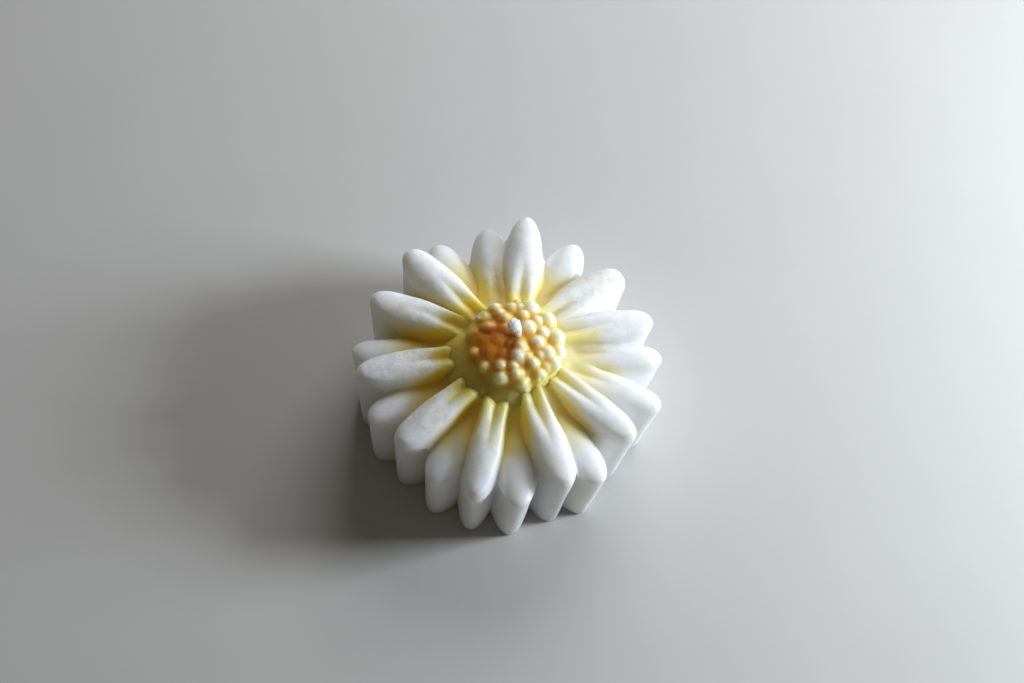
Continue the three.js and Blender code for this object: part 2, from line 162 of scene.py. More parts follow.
def cloud(points, cell, seed):
    """Smooth scattered values from -1 to 1: a draw for each corner of cubes of that cell size,
    blended across each cube by the smooth step of the distance to its sides."""
    draws = np.random.default_rng(seed).uniform(-1, 1, (CLOUD_CORNERS,) * 3)
    scaled = points / cell + CLOUD_SHIFT
    low = np.floor(scaled).astype(int)
    share = smooth_step(0, 1, scaled - low)
    total = np.zeros(points.shape[:-1])
    for corner in np.ndindex(2, 2, 2):
        weight = np.prod(np.where(corner, share, 1 - share), axis=-1)
        i, j, k = np.moveaxis((low + corner) % CLOUD_CORNERS, -1, 0)
        total += weight * draws[i, j, k]
    return total


def clouds(points, sizes):
    """The sum of depth * cloud, for each depth, cell size and seed."""
    return sum(depth * cloud(points, cell, seed) for depth, cell, seed in sizes)


def azimuth_of(x, y):
    """atan2(y, x), in degrees."""
    return np.degrees(np.arctan2(y, x))


def turn_from(azimuth, at):
    """The angle from one azimuth to another, the short way round: -180 to 180 degrees."""
    return (azimuth - at + 180) % 360 - 180


def near_azimuth(azimuth, at, width):
    """exp(-(turn / width) ** 2)."""
    return np.exp(-(turn_from(azimuth, at) / width) ** 2)


print("a soft maximum of 1 and 1.1 is", round(float(soft_max(np.array([[1.0], [1.1]]), 0.3)[0]), 3))

# %% [markdown]
# ## From rings of points to a mesh
# Each wax piece is a stack of closed rings of points. Neighbouring rings are joined by bands of
# faces, and the last ring is joined to the first through the wick hole, so the skin is closed
# like that of a ring doughnut and has no poles. The faces come from index arithmetic on the whole
# grid at once.
# %% Mesh helpers


def new_piece(name, points_mm, faces):
    """A smooth-shaded mesh object at the origin, from points in millimetres and faces."""
    mesh = bpy.data.meshes.new(name)
    mesh.from_pydata((points_mm * MM).tolist(), [], faces)
    mesh.polygons.foreach_set("use_smooth", [True] * len(mesh.polygons))
    mesh.update()
    piece = bpy.data.objects.new(name, mesh)
    bpy.context.scene.collection.objects.link(piece)
    return piece


def ring_faces(rows, columns, closed):
    """Faces of a grid of rows times columns: each corner is row * columns + column, the columns
    wrap round, and so do the rows where the skin is closed."""
    row = np.arange(rows if closed else rows - 1)[:, None]
    column = np.arange(columns)[None, :]
    below, beside = (row + 1) % rows, (column + 1) % columns
    corners = [row * columns + column, below * columns + column,
               below * columns + beside, row * columns + beside]
    grids = [np.broadcast_to(corner, (len(row), columns)) for corner in corners]
    return np.stack(grids, axis=-1).reshape(-1, 4)


def paint(piece, name, values):
    """Stores one number for each vertex, for a material to read."""
    attribute = piece.data.attributes.new(name, "FLOAT", "POINT")
    attribute.data.foreach_set("value", np.asarray(values, np.float32).ravel())


# %% [markdown]
# ## The petals' sizes
# Twenty petals lie in three layers. The upper ones start high beside the disc and are parted into
# two ridges by a groove; the lower ones come up between them and are plain. Each petal has its
# own direction, reach, height and width, because the flower in the mould is not a regular star.
# %% Sizes of the white wax, in millimetres and degrees
# The flat seat under the disc, the circle that the petals' roots lie on, and the hub between the
# roots: its height there, its slope and its bend outwards.
SEAT_Z, SEAT_RADIUS, ROOT_RADIUS = 26, 11.1, 12
HUB_Z, HUB_SLOPE, HUB_BEND = 27.4, 0.45, 0.012
WICK_HOLE_RADIUS = 1.2

# A petal's outline: where it is widest, how blunt the tip is, and the heel behind the root.
WIDEST_AT, TIP_POWER, HEEL_START, HEEL_LENGTH = 23, 2.2, ROOT_RADIUS - 1, 4
LEAST_SLOPE = 0.25  # keeps the distance from the outline finite on the mid-line

# Its crown, and the groove between two ridges, which fades out between two distances.
RIM_TO_CROWN, CROWN_POWER, CROWN_BEND, RIDGE_BEND = 0.6, 1.5, 0.08, 0.36
RIDGE_OFFSET, GROOVE_ROUND, GROOVE_FROM, GROOVE_END = 2.1, 0.3, 13, 28.5

# The foot of its flanks: how far below the rim it lies, how much deeper it gets between two
# distances behind the tip, and its height beside the disc and where that ends.
RIM_TO_FOOT, FLANK_DEPTH, FLANK_LEVELS_FROM, FLANK_LEVELS_TO = 1, 1.8, 9, 1
ROOT_FOOT_Z, ROOT_FOOT_END = 26.6, 21

# How softly heights meet in the valleys and at the petals' edges.
VALLEY_SOFTNESS, EDGE_SOFTNESS = 0.32, 0.42

# The disc is a little wider than its seat, so that no dark gap shows between the two waxes.
DISC_RADIUS = 11.7

# At the front the yellow wax has run down over the petals' roots in two broad tongues: azimuth,
# half-width in degrees, height at the disc's radius, slope and bend outwards, and length.
TONGUES = [(216, 38, 30.3, 0.75, 0.03, 5), (276, 26, 29.8, 1.1, 0, 2.5)]
TONGUE_FALL, TONGUE_BED = 1.5, 0.4  # how far a tongue falls at its side, and the white wax below it

# Height of the crown beside the disc, half-width there, parting, and slope of the flanks.
UPPER = (28.6, 3.2, 1, 3.5)
MIDDLE = (26.6, 4.2, 0.6, 2.6)
LOWER = (24, 6, 0, 1.9)

# How far the inner end of a parted crown dips before it meets the disc, and where it does so.
ROOT_DIP_FROM, ROOT_DIP_TO = 12.2, 15.5
ROOT_DIPS = {5: -0.7, 17: -0.7, 15: 1.5, 13: 1.9, 11: 2.3, 9: 0.9, 8: 0.3}  # by number in the list

# How much a plain petal's end droops, and how far behind its tip that starts.
DROOP, DROOP_LENGTH = 1.3, 9

# Azimuth of the tip and of the root, reach, height of the rim, half-width, and layer.
PETALS = [
    (-4, -3, 37, 23.1, 5.1, MIDDLE),
    (15.5, 15, 36.2, 23.8, 5.1, MIDDLE),
    (30.5, 38, 35.9, 25.8, 5.1, UPPER),
    (53.5, 60, 36.2, 25.8, 6.1, UPPER),
    (75, 77, 36.9, 24.2, 5.3, LOWER),
    (96, 93, 38.2, 27.4, 5, UPPER),
    (110.5, 116, 36.5, 24, 5.3, MIDDLE),
    (133, 131, 35.8, 23.6, 5.3, LOWER),
    (145.5, 145, 36.9, 26.4, 5.2, UPPER),
    (169.5, 168, 36, 25.7, 4.9, UPPER),
    (192, 187, 36.9, 23.8, 4.8, LOWER),
    (203, 203, 36.5, 26, 5, UPPER),
    (220, 219, 36.6, 24.3, 4.9, LOWER),
    (235, 237, 35.3, 25, 4.9, UPPER),
    (253, 252, 36.6, 23.2, 5.2, LOWER),
    (269, 266, 37.2, 24, 4.8, UPPER),
    (284.7, 285, 37.3, 24.2, 5.2, LOWER),
    (302.5, 302, 35.4, 26.6, 4.7, UPPER),
    (316, 318, 36.9, 24.2, 4.9, LOWER),
    (337, 340, 34.6, 25.3, 4.6, UPPER),
]
tip_at, root_at, reach, rim, half_width = np.array([p[:5] for p in PETALS], float).T[:, :, None]
root_z, root_half_width, parting, flank_slope = np.array([p[5] for p in PETALS], float).T[:, :, None]
tip_at, root_at = np.radians(tip_at), np.radians(root_at)


def tongue_turns(azimuth):
    """How many half-widths an azimuth lies from the middle of each tongue."""
    return [turn_from(azimuth, at) / width for at, width, *_ in TONGUES]


def run_out(azimuth):
    """The longest of length * exp(-turn ** 4) for each tongue."""
    turns = tongue_turns(azimuth)
    return np.max([length * np.exp(-turn ** 4) for (*_, length), turn in zip(TONGUES, turns)], axis=0)


def tongue_heights(radius, azimuth):
    """height - slope * out - bend * out squared - fall * turn ** 4, with out from the disc's
    radius, for each tongue."""
    out = radius - DISC_RADIUS
    return [z - slope * out - bend * out ** 2 - TONGUE_FALL * turn ** 4
            for (_, _, z, slope, bend, _), turn in zip(TONGUES, tongue_turns(azimuth))]


dips = np.array([ROOT_DIPS.get(number, 0) for number in range(len(PETALS))], float)[:, None]
print(len(PETALS), "petals, reaching", reach.min(), "to", reach.max(), "mm from the wick")

# %% [markdown]
# ## The petals' heights
# The petals could be modelled one by one and joined with booleans, but twenty joints would leave
# rough seams. A height for every place in plan is simpler: each petal gives a crown that is cut
# off by steep flanks at its outline, and the soft maximum of all of them is the top of the wax.
# %% Each petal's mid-line, outline and crown


def mid_lines():
    """A straight line from the root to the tip: its bearing, and how far aside of the wick it
    passes, which is root y * cos(bearing) - root x * sin(bearing)."""
    root_x, root_y = ROOT_RADIUS * np.cos(root_at), ROOT_RADIUS * np.sin(root_at)
    tip_x, tip_y = reach * np.cos(tip_at), reach * np.sin(tip_at)
    direction = np.arctan2(tip_y - root_y, tip_x - root_x)
    return direction, root_y * np.cos(direction) - root_x * np.sin(direction)


bearing, aside = mid_lines()


def petal_place(x, y):
    """Along the mid-line: x cos + y sin. Across it: y cos - x sin - aside."""
    c, s = np.cos(bearing), np.sin(bearing)
    return x * c + y * s, y * c - x * s - aside


def inside_by(x, y):
    """Distance inside the outline F = 1 - nose ** power - (across / half-width) ** 2 - heel ** 2
    = 0, taken as F over the length of its gradient."""
    along, across = petal_place(x, y)
    width = root_half_width + (half_width - root_half_width) * smooth_step(ROOT_RADIUS, WIDEST_AT, along)
    nose_length = reach - WIDEST_AT
    nose = np.maximum(0, (along - WIDEST_AT) / nose_length)
    heel = np.maximum(0, (HEEL_START - along) / HEEL_LENGTH)
    f = 1 - nose ** TIP_POWER - (across / width) ** 2 - heel ** 2
    lengthwise = TIP_POWER * nose ** (TIP_POWER - 1) / nose_length + 2 * heel / HEEL_LENGTH
    crosswise = 2 * across / width ** 2
    return f / np.sqrt(lengthwise ** 2 + crosswise ** 2 + LEAST_SLOPE ** 2)


def crown_height(along, across):
    """The crown falls with its share of the way out to the power CROWN_POWER. Across it, a plain
    crown bends down as across squared; a parted one as the squared distance from its ridges. It
    dips beside the disc, and a plain petal's end droops as the square of the way into its last
    stretch."""
    tip_z = rim + RIM_TO_CROWN
    out = np.maximum(0, along - ROOT_RADIUS) / (reach - ROOT_RADIUS)
    parted = parting * (1 - smooth_step(GROOVE_FROM, GROOVE_END, along))
    plain = CROWN_BEND * across ** 2
    ridged = RIDGE_BEND * (np.hypot(across, GROOVE_ROUND) - RIDGE_OFFSET) ** 2
    bend = plain * (1 - parted) + ridged * parted
    dip = dips * (1 - smooth_step(ROOT_DIP_FROM, ROOT_DIP_TO, along))
    droop = DROOP * (1 - parting) * np.maximum(0, 1 - (reach - along) / DROOP_LENGTH) ** 2
    return root_z - (root_z - tip_z) * out ** CROWN_POWER - bend - dip - droop


def flank_height(along, inside):
    """The foot of the flank sinks from the disc outwards and comes up again behind the tip; the
    flank rises from it by its slope times the distance inside the outline."""
    deep = smooth_step(FLANK_LEVELS_TO, FLANK_LEVELS_FROM, reach - along)
    outer_foot = rim - RIM_TO_FOOT - FLANK_DEPTH * deep
    out = smooth_step(ROOT_RADIUS, ROOT_FOOT_END, along)
    return ROOT_FOOT_Z + (outer_foot - ROOT_FOOT_Z) * out + flank_slope * inside


def top_height(x, y):
    """The soft maximum of every petal, each the soft minimum of its crown and flank, of the hub
    between their roots, HUB_Z - slope * out - bend * out squared, and of the beds of the tongues."""
    along, across = petal_place(x, y)
    inside = inside_by(x, y)
    heights = soft_min(crown_height(along, across), flank_height(along, inside), EDGE_SOFTNESS)
    radius = np.hypot(x, y)
    out = radius - ROOT_RADIUS
    hub = HUB_Z - HUB_SLOPE * out - HUB_BEND * out ** 2
    beds = np.array(tongue_heights(radius, azimuth_of(x, y))) - TONGUE_BED
    return soft_max(np.vstack([hub[None], beds, heights]), VALLEY_SOFTNESS)


beside_disc = top_height(np.array([0.0]), np.array([-13.0]))
print("the wax in front of the disc is", beside_disc.round(2), "mm high")

# %% [markdown]
# ## Where the vertices go
# The grid's columns run outwards along the petals: one down each mid-line and the rest fanned out
# evenly between two mid-lines, so that ridges, grooves and valleys lie along the mesh and not
# across it. Each column ends where it leaves the petals' common outline, which is found by
# halving the distance between a place inside and one outside.
# %% Columns and the outline
COLUMNS_PER_PETAL = 35
COLUMNS = COLUMNS_PER_PETAL * len(PETALS)
OUTSIDE_ALL, STEP_IN, STEPS_IN, HALVINGS = 40.0, 0.2, 80, 16


def column_azimuths(radius):
    """For one radius per column: the azimuths at which the two neighbouring mid-lines cross that
    circle, bearing + asin(aside / radius), blended by the column's share of the way between."""
    column = np.arange(COLUMNS)
    here = column // COLUMNS_PER_PETAL
    share = column / COLUMNS_PER_PETAL - here
    line_bearing, line_aside = np.unwrap(bearing[:, 0]), aside[:, 0]
    after = (here + 1) % len(PETALS)
    turn = np.where(here + 1 == len(PETALS), 2 * np.pi, 0)
    start = line_bearing[here] + np.arcsin(line_aside[here] / radius)
    end = line_bearing[after] + np.arcsin(line_aside[after] / radius) + turn
    return start + (end - start) * share


def column_places(radius):
    """radius * (cos, sin) of the columns' azimuths, for radii of any number of rows."""
    azimuth = column_azimuths(radius)
    return radius * np.cos(azimuth), radius * np.sin(azimuth)


def is_inside(radius):
    """Whether the soft maximum of the distances inside the petals is above 0."""
    x, y = column_places(radius)
    return soft_max(inside_by(x, y), VALLEY_SOFTNESS) > 0


def outline_radii():
    """The outermost radius inside the petals, for each column: in by even steps, then halved."""
    inner = np.full(COLUMNS, OUTSIDE_ALL)
    for _ in range(STEPS_IN):
        inner = np.where(is_inside(inner), inner, inner - STEP_IN)
    outer = inner + STEP_IN
    for _ in range(HALVINGS):
        middle = (inner + outer) / 2
        inside = is_inside(middle)
        inner, outer = np.where(inside, middle, inner), np.where(inside, outer, middle)
    return inner


edge_radius = outline_radii()
edge_x, edge_y = column_places(edge_radius)
edge_z = top_height(edge_x, edge_y)
print("outline from", round(edge_radius.min(), 2), "to", round(edge_radius.max(), 2), "mm from the wick")

# %% [markdown]
# ## The white wax
# The wax was poured into a mould, so its side runs straight down from the petals' outline to a
# flat foot. An outline could be extruded for that, but then the top would need a lid that fits
# it. Here the rings go over the top from the seat to the rim, down the side, and back under the
# base to the wick hole. The side narrows a little on its way down, so that the wax comes out of
# its mould. Rows lie close together at the rim, where the surface turns quickly.
# %% Rings of the white wax
TOP_ROWS, SIDE_ROWS, ROW_CROWDING = 94, 34, 1.35

# The outline at the foot, against the rim's: its size, its shift, and the rounding of its edge.
FOOT_SHARE, FOOT_SHIFT, FOOT_ROUND, FOOT_ANGLES = 0.95, (0.3, 0.5), 0.8, (0, 22, 45, 68, 90)


def top_rings():
    """Rows of (x, y, z) over the top: at share s of the way out, with s = 1 - (1 - u) **
    ROW_CROWDING for even u, so that the rows crowd at the rim."""
    shares = 1 - (1 - np.linspace(0, 1, TOP_ROWS)) ** ROW_CROWDING
    rows = []
    for share in shares:
        x, y = column_places(SEAT_RADIUS + (edge_radius - SEAT_RADIUS) * share)
        rows.append(np.stack([x, y, top_height(x, y)], axis=-1))
    return rows


def side_ring(z, inset=0):
    """The rim's outline at a lower level: smaller by the foot's share of the way down, less an
    inset, and shifted by the foot's shift."""
    down = 1 - z / edge_z
    size = 1 - (1 - FOOT_SHARE) * down - inset / edge_radius
    x, y = edge_x * size + FOOT_SHIFT[0] * down, edge_y * size + FOOT_SHIFT[1] * down
    return np.stack([x, y, np.broadcast_to(z, x.shape)], axis=-1)


def level_ring(radius, z):
    """A plain circle of points along the columns."""
    azimuth = column_azimuths(np.full(COLUMNS, float(SEAT_RADIUS)))
    height = np.full(COLUMNS, float(z))
    return np.stack([radius * np.cos(azimuth), radius * np.sin(azimuth), height], axis=-1)


def foot_rings():
    """A quarter of a circle round the edge of the base: inset r (1 - cos a), height r (1 - sin a)."""
    return [side_ring(FOOT_ROUND * (1 - np.sin(a)), FOOT_ROUND * (1 - np.cos(a)))
            for a in np.radians(FOOT_ANGLES)]


levels = [edge_z + (FOOT_ROUND - edge_z) * share for share in np.linspace(0, 1, SIDE_ROWS + 1)[1:-1]]
rings = [level_ring(WICK_HOLE_RADIUS, SEAT_Z), level_ring(SEAT_RADIUS, SEAT_Z)]
rings += top_rings() + [side_ring(z) for z in levels] + foot_rings() + [level_ring(WICK_HOLE_RADIUS, 0)]
white_points = np.array(rings)
white_radius = np.hypot(white_points[..., 0], white_points[..., 1])
first_top, last_top = 2, 2 + TOP_ROWS
print("white wax grid:", white_radius.shape, "triangles:", 2 * white_radius.size)

# %% [markdown]
# ## Small unevenness of the cast wax
# Cast wax is never quite true: it shrinks as it sets, which leaves shallow dents, and its skin
# is faintly lumpy. The grid's own facing is worked out from the differences between neighbouring
# points, and each point moves along it by up to about a tenth of a millimetre. The mould's flat
# foot stays true, because the candle stands on it.
# %% Unevenness
WHITE_CLOUDS = [(0.1, 7, 1), (0.05, 2.6, 2), (0.02, 1.1, 3)]  # depth, cell size and seed
UNEVEN_FROM_Z, EVEN_RADIUS, UNEVEN_RADIUS = 3, 11.5, 13.5  # the foot and the seat stay true


def facing(points):
    """The cross product of the steps to the next ring and the next column, made length 1."""
    to_next_ring = np.roll(points, -1, axis=0) - np.roll(points, 1, axis=0)
    to_next_column = np.roll(points, -1, axis=1) - np.roll(points, 1, axis=1)
    normal = np.cross(to_next_ring, to_next_column)
    return normal / np.maximum(np.linalg.norm(normal, axis=-1, keepdims=True), 1e-9)


outward = facing(white_points)
loose = smooth_step(0, UNEVEN_FROM_Z, white_points[..., 2])
loose = loose * smooth_step(EVEN_RADIUS, UNEVEN_RADIUS, white_radius)
white_points += outward * (clouds(white_points, WHITE_CLOUDS) * loose)[..., None]
print("facing upwards at the first petal's crown:", outward[first_top + TOP_ROWS // 2, 0].round(2))

# %% [markdown]
# ## Yellow tint and frosted patches
# The yellow wax has bled into the white round the disc, and in places the skin has a dry, frosted
# bloom. The tint also holds painted shade: it is stronger and reaches further in the grooves and
# valleys and on the side away from the side light. An even ring of colour would look painted on.
# Both follow the flower's own form, so they are worked out for each vertex and stored as
# attributes for the material.
# %% Where each vertex lies
SHADED_AT = 185  # azimuth, in degrees, of the side away from the side light
SHADED_FROM, SHADED_FULL = 0.35, 0.9
CREST_Z, CREST_SLOPE, VALLEY_DEPTH = 29.4, 0.13, 4
RUN_TINTED = 0.45  # share of a tongue's length after which the tint beside it begins


def away_from_lamp(azimuth):
    """(1 + cos(azimuth - SHADED_AT)) / 2: 1 on the side away from the lamp, 0 towards it."""
    return 0.5 + 0.5 * np.cos(np.radians(azimuth - SHADED_AT))


def shaded_side(azimuth):
    """1 over most of the side away from the lamp, 0 over most of the other, smooth between."""
    return smooth_step(SHADED_FROM, SHADED_FULL, away_from_lamp(azimuth))


white_azimuth = azimuth_of(white_points[..., 0], white_points[..., 1])
away = away_from_lamp(white_azimuth)
beyond_root = white_radius - ROOT_RADIUS
beyond_disc = np.maximum(white_radius - DISC_RADIUS - RUN_TINTED * run_out(white_azimuth), 0)
depth = np.clip((CREST_Z - CREST_SLOPE * beyond_root - white_points[..., 2]) / VALLEY_DEPTH, 0, 1)
print("mean depth below the crests, as a share:", round(float(depth[first_top:last_top].mean()), 3))

# %% Tint and frost
TINT_CLOUDS = [(1.4, 5, 4), (0.5, 2, 5)]  # depth, cell size and seed
# Painted shade: the AWAY values and the low places add yellow away from the lamp.
WIDE_REACH, WIDE_AWAY_REACH, WIDE_LOW_REACH = 14, 5, 6
WIDE_AMOUNT, WIDE_AWAY_AMOUNT, WIDE_ON_CRESTS, WIDE_SHADE_IN_VALLEYS = 0.42, 0.25, 0.48, 0.9
NEAR_REACH, NEAR_AWAY_REACH, NEAR_ON_CRESTS = 1, 3.5, 0.6
NEAR_AMOUNT, NEAR_AWAY_AMOUNT = 0.5, 0.6
STREAK_AT, STREAK_WIDTH, STREAK_FROM, STREAK_END, STREAK_AMOUNT = 27.5, 3, 5, 14, 0.6
FRONT_AT, FRONT_WIDTH, FRONT_FROM, FRONT_END, FRONT_AMOUNT = -87, 27, 7, 19, 0.16
FROST_LEFT_AT, FROST_LEFT_WIDTH = 200, 38
FROST_BACK_AT, FROST_BACK_WIDTH, FROST_BACK_AMOUNT = 53, 9, 0.8
FROST_EVERYWHERE, FROST_FROM, FROST_FULL = 0.35, 16, 21


def wide_tint_and_shade(uneven):
    """Fades out by WIDE_REACH beyond the roots, later on the side away from the lamp and where
    the surface lies low. What the far side and the low places add is painted shade."""
    low = WIDE_LOW_REACH * depth
    fade = 1 - smooth_step(0, WIDE_REACH + WIDE_AWAY_REACH * away, beyond_root - low + uneven)
    amount = WIDE_AMOUNT + WIDE_AWAY_AMOUNT * away
    return fade * amount * (WIDE_ON_CRESTS + WIDE_SHADE_IN_VALLEYS * depth)


def near_tint_and_shade():
    """exp(-(distance beyond the disc / reach) ** 2), where the reach is NEAR_REACH towards the
    lamp and grows away from it, as the amount does. What that growth adds is painted shade."""
    reach_here = NEAR_REACH + NEAR_AWAY_REACH * away * (NEAR_ON_CRESTS + depth)
    return np.exp(-(beyond_disc / reach_here) ** 2) * (NEAR_AMOUNT + NEAR_AWAY_AMOUNT * away)


def patch_tint(uneven):
    """A narrow streak in one groove at the right, and a faint broad patch on the front petals."""
    streak = near_azimuth(white_azimuth, STREAK_AT, STREAK_WIDTH)
    streak = streak * (1 - smooth_step(STREAK_FROM, STREAK_END, beyond_root))
    front = near_azimuth(white_azimuth, FRONT_AT, FRONT_WIDTH)
    front = front * (1 - smooth_step(FRONT_FROM, FRONT_END, beyond_root + 1.5 * uneven))
    return STREAK_AMOUNT * streak + FRONT_AMOUNT * front


def frost():
    """Strongest on the petals to the left and on one at the back right, on high surfaces that
    face up, and not near the disc."""
    left = near_azimuth(white_azimuth, FROST_LEFT_AT, FROST_LEFT_WIDTH)
    back = near_azimuth(white_azimuth, FROST_BACK_AT, FROST_BACK_WIDTH)
    amount = np.clip(FROST_EVERYWHERE + left + FROST_BACK_AMOUNT * back, 0, 1)
    out = smooth_step(FROST_FROM, FROST_FULL, white_radius) * (1 - smooth_step(0.5, 0.8, depth))
    return amount * out * smooth_step(0.5, 0.85, outward[..., 2])


tint_edge = clouds(white_points, TINT_CLOUDS)
# The tint is the yellow wax's bleed plus painted shade in low places and away from the lamp.
tint = np.clip(wide_tint_and_shade(tint_edge) + near_tint_and_shade() + patch_tint(tint_edge), 0, 1)
white_wax = new_piece("petals_and_base", white_points.reshape(-1, 3),
                      ring_faces(len(white_points), COLUMNS, True).tolist())
paint(white_wax, "tint_and_painted_shade", tint)
paint(white_wax, "frost", frost())
paint(white_wax, "shaded_side", shaded_side(white_azimuth))
print("mean tint on the top:", round(float(tint[first_top:last_top].mean()), 3))

# %% [markdown]
# ## The yellow disc
# The disc is a low dome covered with round bumps, as a daisy's is with florets. A spiral formula
# would give them all at once, but poured wax is not that regular: the bumps are largest on the
# right, run together in two chains towards one petal, and two of them have a pit where a bubble
# of air was. So each bump is listed one by one, from the wick outwards.
# %% Sizes of the disc, in millimetres and degrees
DISC_TOP_Z, DISC_BEND, DOME_SOFTNESS = 33.8, 0.022, 0.7
DISC_SIDE_SLOPE, DISC_SIDE_Z = 3, 28
TONGUE_SOFTNESS, TONGUE_DEEPER = 0.35, 1  # how much deeper its foot is, for each mm of its length
BUMPS_FROM_Z, BUMPS_FULL_Z = 29.2, 30.4
BUMP_SPREAD = 1.6  # how much wider than its listed radius a bump runs out
DISC_ROWS, DISC_COLUMNS, SECTION_STEPS = 130, 440, 2000
DISC_HOLE_RADIUS, DISC_LIFT = 0.6, 0.02  # the disc is lifted off its seat by a hair
CLIMB, CLIMB_WIDTH = 0.45, 1.1  # how far the wax climbs the wick

# Azimuth, distance from the wick, radius and height of each bump.
BUMPS = [
    (247, 2.3, 1.4, 0.4), (303, 2.7, 1.8, 1.2), (150, 3.4, 1.8, 0.5), (55, 4, 2.1, 1.5),
    (205, 4.2, 2, 0.3), (288, 4.8, 2.1, 1.4), (0, 5.1, 1.9, 1.5), (127, 5.5, 1.6, 1.2),
    (250, 5.5, 1.8, 0.35), (311, 5.6, 1.4, 1.1), (85, 6.4, 1.6, 1.2), (222, 7, 1.9, 0.35),
    (28, 6.5, 1.8, 1.4), (170, 6.9, 1.6, 1), (277, 7, 1.4, 1.1), (57, 7, 1.6, 1.3),
    (315, 7.3, 1.6, 1.3), (195, 7.7, 1.9, 0.35), (336, 6.9, 1.4, 1), (131, 7.6, 1.5, 1.2),
    (256, 7.8, 1.5, 1.2), (349, 8, 1.8, 1.6), (95, 8.5, 1.3, 1.2), (107, 8.5, 1.7, 1.1),
    (283, 8.7, 1.5, 1.3), (79, 9.5, 2.4, 1.8), (131, 9.4, 1.6, 1.3), (154, 9.5, 1.6, 1.2),
    (50, 9.7, 2.3, 1.8), (20, 9.8, 2.4, 1.9), (330, 9.6, 1.5, 0.9), (238, 10, 1.2, 1),
    (212, 10, 1.1, 0.8), (316, 10.2, 1.6, 1.4), (263, 10.2, 1.7, 1.3), (183, 10.4, 1.8, 0.6),
    (291, 10.6, 1.5, 1.3), (0, 10.4, 2, 1.7), (342, 10.5, 2, 1.7),
    (295, 11.5, 1.2, 0.9), (311, 11.4, 1.2, 0.9), (98, 10.6, 1.2, 1),
]
CHAINS_AT, CHAINS_WIDTH, CHAINS_LOWER = (302, 97), 14, 1.3  # these bumps go further down the side

# Azimuth, distance from the wick, radius and depth of each pit.
PITS = [(315, 10.5, 0.55, 0.75), (155, 9.6, 0.7, 0.9)]


def dome_height(radius, azimuth):
    """The soft minimum of a bowl turned over, top - bend * radius squared, and of the soft
    maximum of the steep side and the tongues, plus climb * exp(-(radius / width) ** 2)."""
    radius, azimuth = np.broadcast_arrays(radius, azimuth)
    side = DISC_SIDE_Z + DISC_SIDE_SLOPE * (DISC_RADIUS - radius)
    side = soft_max(np.stack([side, *tongue_heights(radius, azimuth)]), TONGUE_SOFTNESS)
    climb = CLIMB * np.exp(-(radius / CLIMB_WIDTH) ** 2)
    return soft_min(DISC_TOP_Z - DISC_BEND * radius ** 2, side, DOME_SOFTNESS) + climb


def on_the_dome(azimuth, out):
    """The places (out * cos, out * sin, height of the dome)."""
    angle = np.radians(azimuth)
    return np.stack([out * np.cos(angle), out * np.sin(angle), dome_height(out, azimuth)], axis=-1)


bump_at, bump_out, bump_radius, bump_height = np.array(BUMPS, float).T
centres = on_the_dome(bump_at, bump_out)
print(len(BUMPS), "bumps,", round(2 * bump_radius.mean(), 2), "mm across on average")

# %% [markdown]
# The dome's cross-section is walked in even steps, so that the steep side gets as many rings as
# it needs. The bumps push each point out, square to the section. A patch beside the wick, on the
# side away from the side light, gets a deep orange as painted shade, so how near a point lies to
# that patch is stored for the material, as are the bumps' height and the way out to the rim.
# %% Rings of the disc
STEEP_AT = 90  # an azimuth at which there is no tongue
DISC_CLOUDS = [(0.05, 1.6, 11), (0.025, 0.7, 12)]
# The patch of deep orange is painted shade: its azimuth, distance from the wick and size.
PATCH_AT, PATCH_OUT, PATCH_SIZE = math.radians(203), 4.5, 6.5
PALER_FROM, PALER_AT_RIM, PALER_AT_RUN = 6, 11, 14


def section_radii():
    """Radii at even distances along the steep section, from the hole to the foot."""
    dense_radius = np.linspace(DISC_HOLE_RADIUS, DISC_RADIUS, SECTION_STEPS)
    dense_z = dome_height(dense_radius, STEEP_AT)
    steps = np.hypot(np.diff(dense_radius), np.diff(dense_z))
    walked = np.concatenate([[0], np.cumsum(steps)])
    return np.interp(np.linspace(0, walked[-1], DISC_ROWS), walked, dense_radius)


def bead(distance, radius, height):
    """height * (1 + cos(pi * distance / radius)) / 2 inside the bump's radius, 0 outside it."""
    return height * (1 + np.cos(np.pi * np.minimum(1, distance / radius))) / 2


azimuths = np.arange(DISC_COLUMNS) * 360 / DISC_COLUMNS
cos_a, sin_a = np.cos(np.radians(azimuths)), np.sin(np.radians(azimuths))
skirt = DISC_RADIUS + run_out(azimuths)
foot_z = SEAT_Z + DISC_LIFT - TONGUE_DEEPER * run_out(azimuths)
stretched = (skirt - DISC_HOLE_RADIUS) / (DISC_RADIUS - DISC_HOLE_RADIUS)
plain_r = DISC_HOLE_RADIUS + (section_radii()[:, None] - DISC_HOLE_RADIUS) * stretched
plain_z = dome_height(plain_r, azimuths)
plain = np.stack([plain_r * cos_a, plain_r * sin_a, plain_z], axis=-1)
slope_r, slope_z = np.gradient(plain_r, axis=0), np.gradient(plain_z, axis=0)
upwards = np.stack([-slope_z * cos_a, -slope_z * sin_a, slope_r], axis=-1)
upwards /= np.linalg.norm(upwards, axis=-1, keepdims=True)


def raised_by_bumps():
    """(sum of bead ** 4) ** 0.25, so that neighbours run together. It fades out down the side,
    lower down at the chains."""
    distance = np.linalg.norm(plain[None] - centres[:, None, None], axis=-1)
    beads = bead(distance, BUMP_SPREAD * bump_radius[:, None, None], bump_height[:, None, None])
    highest = (beads ** 4).sum(axis=0) ** 0.25
    chains = near_azimuth(azimuths[None], np.array(CHAINS_AT)[:, None], CHAINS_WIDTH)
    lower = CHAINS_LOWER * chains.max(axis=0)
    return highest * smooth_step(BUMPS_FROM_Z, BUMPS_FULL_Z, plain[..., 2] + lower)


def sunk_by_pits():
    """depth * exp(-(distance / radius) ** 2) for each pit."""
    at, out, radius, depth = np.array(PITS).T[:, :, None, None]
    distance = np.linalg.norm(plain[None] - on_the_dome(at, out), axis=-1)
    return (depth * np.exp(-(distance / radius) ** 2)).sum(axis=0)


